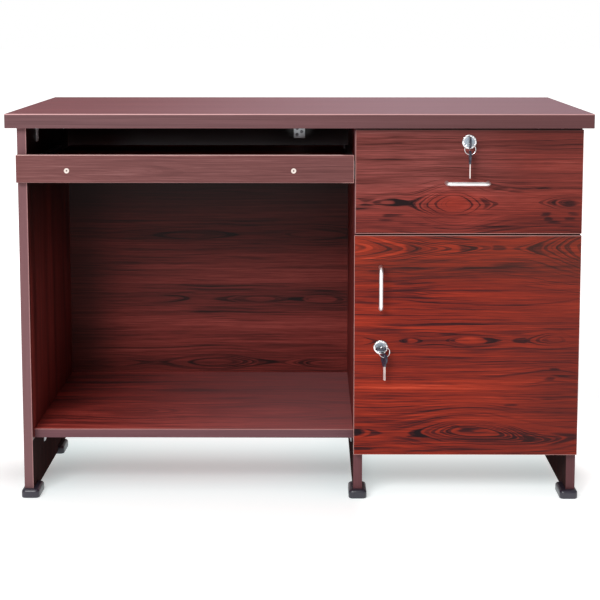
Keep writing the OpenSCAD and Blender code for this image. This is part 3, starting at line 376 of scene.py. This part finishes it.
M["edge_h"] = plastic_edge("edge_boards", lin(91, 54, 60), lin(110, 70, 76), over=(
    # painted highlight: a pale line along the shelf edging's top rim
    (lambda g, x, y, z: g.remap(z, 0.1298, 0.1312, 0.0, 0.60), lin(190, 136, 130)),))
# the pale base colours paint the highlight along the fronts' front rim; the mauve tints below give the edging its own
# colour where no highlight is painted
M["edge_front"] = plastic_edge("edge_fronts", lin(176, 128, 123), lin(196, 150, 143), across=1, over=(
    (lambda g, x, y, z: g.mul(g.m("MAXIMUM", g.remap(z, 0.6346, 0.6342), g.remap(x, -0.5484, -0.5490)), g.remap(x, 0.09, 0.08, 0.0, 0.75)), lin(104, 64, 66)),
    # painted highlight: a paler line along the tray front edging's top rim
    (lambda g, x, y, z: g.mul(g.remap(z, 0.6858, 0.6864, 0.0, 0.70), g.remap(x, 0.09, 0.08)), lin(224, 184, 180)),
    # painted shadow of the desktop: the drawer front's edging near black at its top and darker towards it
    (lambda g, x, y, z: g.m("MAXIMUM", g.remap(z, 0.7346, 0.7352, 0.0, 0.92), g.remap(z, 0.7200, 0.7346, 0.0, 0.60)), lin(46, 20, 19)),
    (lambda g, x, y, z: g.mul(g.remap(y, -0.3062, -0.3035, 0.0, 0.94, smooth=True), g.remap(x, 0.08, 0.09)), lin(96, 54, 58)),))


def metal(name, col, rough, bump=0.0, scale=900.0, dark=0.85, aniso=(1, 1, 1)):
    g = Graph(name)
    x, y, z = g.xyz()
    n = g.noise(g.vec(g.mul(x, aniso[0]), g.mul(y, aniso[1]), g.mul(z, aniso[2])), scale=scale, detail=2.0)
    big = g.noise(g.vec(x, y, z), scale=60.0, detail=2.0)
    d = (col[0] * dark, col[1] * dark, col[2] * dark, 1.0)
    g.set(Base_Color=g.mix(g.remap(big, 0.3, 0.7), d, col), Roughness=g.add(rough, g.mul(n, 0.10)))
    g.bsdf.inputs["Metallic"].default_value = 1.0
    if bump:
        g.bump(n, bump, 0.0002)
    return g.mat


M["chrome"] = metal("chrome", (0.90, 0.90, 0.92, 1), 0.10)
M["satin"] = metal("satin_wire", (0.95, 0.93, 0.935, 1), 0.34, bump=0.03, dark=0.92)
M["zinc"] = metal("zinc_plate", (0.72, 0.73, 0.75, 1), 0.28, bump=0.06, scale=500.0, dark=0.75)
M["galv"] = metal("galvanised_bracket", (0.80, 0.84, 0.88, 1), 0.46, bump=0.08, scale=380.0, dark=0.86)
M["galv"].node_tree.nodes["Principled BSDF"].inputs["Metallic"].default_value = 0.15
M["rail"] = metal("rail_steel", (0.62, 0.63, 0.65, 1), 0.30, bump=0.04, aniso=(1, 0.05, 1))
M["lock"] = metal("lock_nickel", (0.54, 0.62, 0.70, 1), 0.42, bump=0.05)
M["blade"] = metal("key_steel", (0.90, 0.78, 0.75, 1), 0.26, bump=0.03)
M["blackscrew"] = metal("black_screw", (0.05, 0.05, 0.055, 1), 0.35)


def moulded(name, a, b, rough, spec=0.5, grain=2500.0, bump=0.15, over=()):
    g = Graph(name)
    x, y, z = g.xyz()
    n = g.noise(g.vec(x, y, z), scale=grain, detail=2.0)
    big = g.noise(g.vec(x, y, z), scale=25.0, detail=2.0)
    col = g.mix(big, a, b)
    for fac, tint in over:
        col = g.mix(fac(g, x, y, z), col, tint)
    g.set(Base_Color=col, Roughness=g.add(rough, g.mul(n, 0.12)))
    g.bsdf.inputs["Specular IOR Level"].default_value = spec
    g.bump(n, bump, 0.0002)
    return g.mat


M["foot"] = moulded("foot_plastic", lin(33, 32, 43), lin(50, 46, 60), 0.28, 0.65)
M["key"] = moulded("key_plastic", lin(34, 36, 50), lin(50, 52, 68), 0.25, 0.6, bump=0.05)


def painted_socket_shade(g, x, y, z):
    """Painted shade of the recess in the middle of both screw heads: a dark disc in their colour."""
    dx, dz = g.m("SUBTRACT", g.m("ABSOLUTE", g.add(x, 0.2311)), 0.2204), g.add(z, -0.6565)
    return g.remap(g.m("SQRT", g.add(g.mul(dx, dx), g.mul(dz, dz))), 0.0012, 0.0019, 0.95, 0.0)


M["white"] = moulded("white_screw", lin(206, 192, 184), lin(222, 208, 200), 0.40, 0.4, bump=0.03, over=((painted_socket_shade, lin(74, 48, 42)),))


def raw_board(name, seed, a, b, along=0):
    g = Graph(name)
    x, y, z = g.xyz()
    chips = g.noise(g.vec(g.mul(x, 1.0), g.mul(y, 1.0), g.mul(z, 1.0)), scale=420.0, detail=3.0, rough=0.65)
    grain = g.noise(g.vec(g.mul((x, y, z)[along], 6.0), g.mul(g.add(*[(x, y, z)[i] for i in range(3) if i != along]), 260.0), seed), detail=2.0)
    t = g.add(g.mul(chips, 0.5), g.mul(grain, 0.5))
    g.set(Base_Color=g.ramp(g.remap(t, 0.35, 0.65), [(0.0, a), (1.0, b)]), Roughness=0.7)
    g.bsdf.inputs["Specular IOR Level"].default_value = 0.2
    g.bump(t, 0.12, 0.0004)
    return g.mat


M["raw"] = raw_board("raw_board", 3.0, lin(176, 150, 118), lin(206, 182, 148), along=1)
M["raw_back"] = raw_board("raw_board_back", 4.0, lin(176, 150, 118), lin(206, 182, 148), along=0)
M["hard"] = raw_board("hardboard", 9.0, lin(138, 104, 74), lin(166, 130, 96), along=2)
M["hard_flat"] = raw_board("hardboard_bottom", 7.0, lin(138, 104, 74), lin(166, 130, 96), along=1)


# ---------------------------------------------------------------- pieces
def skin(node, mat, bevel=0.0, seg=2, angle=35.0, smooth=True):
    """The CAD node's own surface with welded points, softened edges and a finish."""
    src = frame["nodes"][node]
    bm = bmesh.new()
    bm.from_mesh(src.data)
    bmesh.ops.remove_doubles(bm, verts=bm.verts, dist=2e-6)
    bmesh.ops.join_triangles(bm, faces=bm.faces, angle_face_threshold=math.radians(0.5), angle_shape_threshold=math.radians(180))
    bmesh.ops.recalc_face_normals(bm, faces=bm.faces)
    me = bpy.data.meshes.new(node + ".skin")
    bm.to_mesh(me)
    bm.free()
    o = bpy.data.objects.new(node + ".skin", me)
    bpy.context.scene.collection.objects.link(o)
    if smooth:
        for p in me.polygons:
            p.use_smooth = True
        me.set_sharp_from_angle(angle=math.radians(angle))
    if bevel:
        b = o.modifiers.new("soft edges", "BEVEL")
        b.width = bevel
        b.segments = seg
        b.limit_method = "ANGLE"
        b.angle_limit = math.radians(50)
        b.harden_normals = True
        b.use_clamp_overlap = True
    me.materials.append(mat)
    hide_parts(node)
    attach(o, BODY[node])
    return o


def coat(node, mat):
    """The CAD node itself, with a finish."""
    o = frame["nodes"][node]
    if not o.material_slots:
        o.data.materials.append(mat)
    for s in o.material_slots:
        s.material = mat
    return o


BOARD = {
    "desktop": ("top", 0), "left_panel": ("side", 0.0004), "partition": ("side", 0.0004), "right_panel": ("side", 0.0004),
    "knee_back": ("knee", 0), "footrest_shelf": ("shelf", 0), "cabinet_floor": ("inner", 0), "cabinet_rail": ("inner", 0),
    "cabinet_back": ("hard", 0), "tray_board": ("tray", 0.0004), "tray_front": ("strip", 0), "drawer_front": ("drawer", 0),
    "door_panel": ("door", 0), "drawer_sides": ("raw", 0.0006), "drawer_back": ("raw_back", 0.0006),
    "drawer_bottom": ("hard_flat", 0), "carcass_dowels": ("raw", 0), "drawer_dowels": ("raw", 0),
    "desktop_edging": ("edge_top", 0.0022), "panel_edging": ("edge_v", 0.0005),
    "shelf_edging": ("edge_h", 0.0004), "tray_front_edging": ("edge_front", 0.0005),
    "drawer_front_edging": ("edge_front", 0.0005), "door_edging": ("edge_front", 0.0005),
    "foot_nails": ("zinc", 0), "corner_brackets": ("galv", 0.0004), "bracket_screws": ("galv", 0.0003),
    "perforated_bracket": ("galv", 0.0004), "perforated_bracket_screws": ("blackscrew", 0.0004), "tray_front_screws": ("white", 0.0006),
    "drawer_handle": ("satin", 0), "door_handle": ("satin", 0), "drawer_lock_rose": ("chrome", 0.0003), "door_lock_rose": ("chrome", 0.0003),
    "drawer_lock_case": ("lock", 0.0002), "door_lock_case": ("lock", 0.0002), "drawer_lock_plug": ("lock", 0.0002), "door_lock_plug": ("lock", 0.0002),
    "drawer_lock_cam": ("zinc", 0.0003), "door_lock_cam": ("zinc", 0.0003), "drawer_key_ring": ("chrome", 0), "door_key_ring": ("chrome", 0),
    "hinge_cups": ("zinc", 0.0002), "hinge_arms": ("zinc", 0.0005),
}
ROUND = ("drawer_handle", "door_handle", "drawer_key_ring", "door_key_ring")
for n in frame["nodes"]:
    if n in ("drawer_key", "door_key", "drawer_spare_key", "door_spare_key", "feet"):
        continue
    if n in BOARD:
        k, b = BOARD[n]
    elif "_rail_" in n and "screws" not in n:
        k, b = "rail", 0
    else:
        k, b = "zinc", 0
    if b or n in ROUND:
        skin(n, M[k], bevel=b, seg=3 if n == "desktop_edging" else 2)
    else:
        coat(n, M[k])


def lower(o):
    """The panel's inner faces below the shelf take a matt material with painted shade: dark grey over the wood."""
    me = o.data
    bm = bmesh.new()
    bm.from_mesh(me)
    for co, no in (((0, 0, 0.114), (0, 0, 1)), ((0, 0.272, 0), (0, 1, 0))):
        bmesh.ops.bisect_plane(bm, geom=list(bm.verts) + list(bm.edges) + list(bm.faces), plane_co=co, plane_no=no, dist=1e-6)
    for f in bm.faces:
        c = f.calc_center_median()
        f.material_index = 1 if abs(f.normal.x) > 0.9 and c.z < 0.114 and c.y < 0.272 and abs(c.x) < 0.5395 else 0
    bm.to_mesh(me)
    bm.free()
    me.materials.append(M["side_low"])


for o in bpy.context.scene.objects:
    if o.name in ("left_panel.skin", "partition.skin", "right_panel.skin"):
        lower(o)


def keys(node, origin, bow_axis):
    """Bow and blade in two finishes on one surface: faces further from the bow's centre than its neck are steel."""
    o = skin(node, M["key"], bevel=0.0004)
    o.data.materials.append(M["blade"])
    o0 = Vector(origin)
    for p in o.data.polygons:
        if (p.center - o0).dot(bow_axis) > 0.0153:
            p.material_index = 1
    return o


yFb = -0.2905
yk = yFb - 0.0355
keys("drawer_key", (0.329, yk, 0.713), Vector((0, 1, 0)))
keys("door_key", (0.160, yk, 0.309), Vector((0, 1, 0)))
keys("drawer_spare_key", (0.329, yk - 0.001, 0.713 - 0.0021 - 0.0212 - 0.0031), Vector((0, 0, -1)))
keys("door_spare_key", (0.1664, yk - 0.001, 0.309 - 0.006 - 0.0106 - 0.0031), Vector((0, 0, -1)))


def shoes(node, mat):
    """One rounded plastic shoe per foot, each lofted inside the box of the foot it stands for."""
    src = frame["nodes"][node]
    bm = bmesh.new()
    bm.from_mesh(src.data)
    bmesh.ops.remove_doubles(bm, verts=bm.verts, dist=2e-6)
    boxes, left = [], set(bm.verts)
    while left:
        todo, seen = [left.pop()], []
        while todo:
            v = todo.pop()
            seen.append(v.co.copy())
            for e in v.link_edges:
                w = e.other_vert(v)
                if w in left:
                    left.discard(w)
                    todo.append(w)
        boxes.append((Vector(map(min, zip(*seen))), Vector(map(max, zip(*seen)))))
    bm.free()
    out = bmesh.new()
    for a, b in boxes:
        if (b - a).x < 0.02:
            continue
        rings = []
        prof = [(0.0, 0.0016), (0.0006, 0.0006), (0.0018, 0.0), (0.0105, 0.0)]
        prof += [(0.0105 + 0.0058 * math.sin(i * math.pi / 12), 0.0058 * (1 - math.cos(i * math.pi / 12))) for i in range(1, 7)]
        top = b.z - a.z
        prof = [(z * top / 0.0163, i) for z, i in prof] + [(top, 0.0075)]
        for z, inset in prof:
            r = 0.0085 - inset * 0.6
            ring = []
            for k, (cx, cy) in enumerate(((b.x - inset - r, b.y - inset - r), (a.x + inset + r, b.y - inset - r),
                                          (a.x + inset + r, a.y + inset + r), (b.x - inset - r, a.y + inset + r))):
                for j in range(7):
                    w = (k + j / 6) * math.pi / 2
                    ring.append(out.verts.new((cx + r * math.cos(w), cy + r * math.sin(w), a.z + z)))
            rings.append(ring)
        n = len(rings[0])
        for lo_, hi_ in zip(rings, rings[1:]):
            for j in range(n):
                out.faces.new((lo_[j], lo_[(j + 1) % n], hi_[(j + 1) % n], hi_[j]))
        out.faces.new(list(reversed(rings[0])))
        out.faces.new(rings[-1])
    bmesh.ops.recalc_face_normals(out, faces=out.faces)
    me = bpy.data.meshes.new("shoes")
    out.to_mesh(me)
    out.free()
    for q in me.polygons:
        q.use_smooth = True
    me.set_sharp_from_angle(angle=math.radians(50))
    me.materials.append(mat)
    o = bpy.data.objects.new("shoes", me)
    bpy.context.scene.collection.objects.link(o)
    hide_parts(node)
    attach(o, BODY[node])


shoes("feet", M["foot"])

# ---------------------------------------------------------------- stage
g = Graph("stage_floor")
g.set(Roughness=0.9)
g.bsdf.inputs["Specular IOR Level"].default_value = 0.0
x, y, z = g.xyz()
far = g.m("SQRT", g.add(g.mul(x, x), g.mul(y, y)))
inside = g.remap(g.m("ABSOLUTE", x), 0.57, 0.72, 1.0, 0.0, smooth=True)
# painted light: a cyan tint under the desk cancels the red light bounced from the desk
under = g.mul(g.remap(g.m("ABSOLUTE", x), 0.60, 0.50, 0.0, 1.0, smooth=True), g.remap(g.m("ABSOLUTE", g.add(y, 0.04)), 0.38, 0.12, 0.0, 1.0, smooth=True))
under = g.mul(under, g.remap(x, 0.06, 0.18, 1.0, 0.72))
g.set(Base_Color=g.mix(under, (0.70, 0.705, 0.705, 1.0), (0.64, 0.715, 0.725, 1.0)), Emission_Color=g.mix(under, (1.0, 0.995, 0.99, 1.0), (0.87, 1.0, 1.0, 1.0)))
# painted shadow: the floor's glow dips in a band under the front of the desk
dy = g.m("DIVIDE", g.add(y, 0.115), 0.085)
painted_shadow_dip = g.mul(g.m("POWER", 2.718281828, g.mul(g.mul(dy, dy), -1.0)), 0.19)
# painted light: the floor's glow rises behind the desk and under the cupboard side
lit = g.add(g.mul(g.remap(y, -0.05, 0.14, 0.0, 1.0, smooth=True), 0.25), g.mul(g.remap(x, 0.10, 0.16, 0.0, 1.0, smooth=True), 0.18))
# painted light: the floor's glow rises beside the desk's right end, where the key light's shadow falls
near = g.m("POWER", 2.718281828, g.mul(g.m("POWER", g.m("DIVIDE", y, 0.45), 4.0), -1.0))
painted_light_beside = g.mul(g.mul(g.remap(x, 0.560, 0.62, 0.0, 1.0, smooth=True), near), 0.28)
glow = g.add(g.remap(far, 1.0, 4.0, 0.53, 1.05, smooth=True), g.mul(inside, g.m("SUBTRACT", lit, painted_shadow_dip)), painted_light_beside)
g.set(Emission_Strength=g.m("MINIMUM", glow, 1.05))
me = bpy.data.meshes.new("floor")
bm = bmesh.new()
bmesh.ops.create_grid(bm, x_segments=1, y_segments=1, size=40.0)
bm.to_mesh(me)
bm.free()
floor = bpy.data.objects.new("floor", me)
floor.location = (0, 0, -0.0003)
me.materials.append(g.mat)
bpy.context.scene.collection.objects.link(floor)

world = bpy.data.worlds.new("studio")
bpy.context.scene.world = world
world.use_nodes = True
wn, wl = world.node_tree.nodes, world.node_tree.links
bg = wn["Background"]
bg.inputs[0].default_value = (1.0, 1.0, 1.0, 1.0)
bg.inputs[1].default_value = 0.32
seen = wn.new("ShaderNodeBackground")
seen.inputs[0].default_value = (1.0, 1.0, 1.0, 1.0)
seen.inputs[1].default_value = 1.0
path, both = wn.new("ShaderNodeLightPath"), wn.new("ShaderNodeMixShader")
wl.new(path.outputs["Is Camera Ray"], both.inputs[0])
wl.new(bg.outputs[0], both.inputs[1])
wl.new(seen.outputs[0], both.inputs[2])
wl.new(both.outputs[0], wn["World Output"].inputs["Surface"])


def area(name, loc, target, size, power, colour=(1, 1, 1)):
    d = bpy.data.lights.new(name, "AREA")
    d.shape = "RECTANGLE"
    d.size, d.size_y = size
    d.energy = power
    d.color = colour
    o = bpy.data.objects.new(name, d)
    o.location = loc
    o.rotation_euler = (Vector(target) - Vector(loc)).to_track_quat("-Z", "Y").to_euler()
    bpy.context.scene.collection.objects.link(o)
    return o


area("key_light", (-1.0, -2.7, 1.8), (0.0, -0.2, 0.30), (1.2, 0.8), 62)
area("top_light", (-0.3, 0.2, 3.2), (0.0, 0.0, 0.4), (2.4, 2.4), 26)
area("back_light", (0.0, 3.2, 2.2), (0.0, 0.7, 0.1), (2.4, 1.4), 42).visible_glossy = False
# a low, narrow light through the gap under the desktop, onto the bracket at its back
spot = bpy.data.lights.new("gap_light", "SPOT")
spot.energy = 19.0
spot.spot_size = math.radians(2.6)
spot.spot_blend = 0.6
spot.shadow_soft_size = 0.01
spot_o = bpy.data.objects.new("gap_light", spot)
spot_o.location = (-0.04, -1.2, 0.709)
spot_o.rotation_euler = (Vector((-0.004, 0.273, 0.712)) - spot_o.location).to_track_quat("-Z", "Y").to_euler()
bpy.context.scene.collection.objects.link(spot_o)

# ---------------------------------------------------------------- camera
cam = bpy.data.cameras.new("camera")
cam_o = bpy.data.objects.new("camera", cam)
bpy.context.scene.collection.objects.link(cam_o)
pitch, yaw = 0.13463, -0.00678
cp, sp, cy_, sy_ = math.cos(pitch), math.sin(pitch), math.cos(yaw), math.sin(yaw)
right = Vector((cy_, -sy_, 0))
up = Vector((sy_ * sp, cy_ * sp, cp))
back = -Vector((sy_ * cp, cy_ * cp, -sp))
rot = Matrix((right, up, back)).transposed().to_4x4()
cam_o.matrix_world = Matrix.Translation((0.02354, -3.55086, 0.96063)) @ rot
cam.sensor_fit = "HORIZONTAL"
cam.sensor_width = 36.0
cam.lens = 1678.64 / 600.0 * 36.0
cam.shift_y = -0.10
cam.clip_end = 200.0
bpy.context.scene.camera = cam_o
bpy.context.scene.view_settings.view_transform = "Standard"
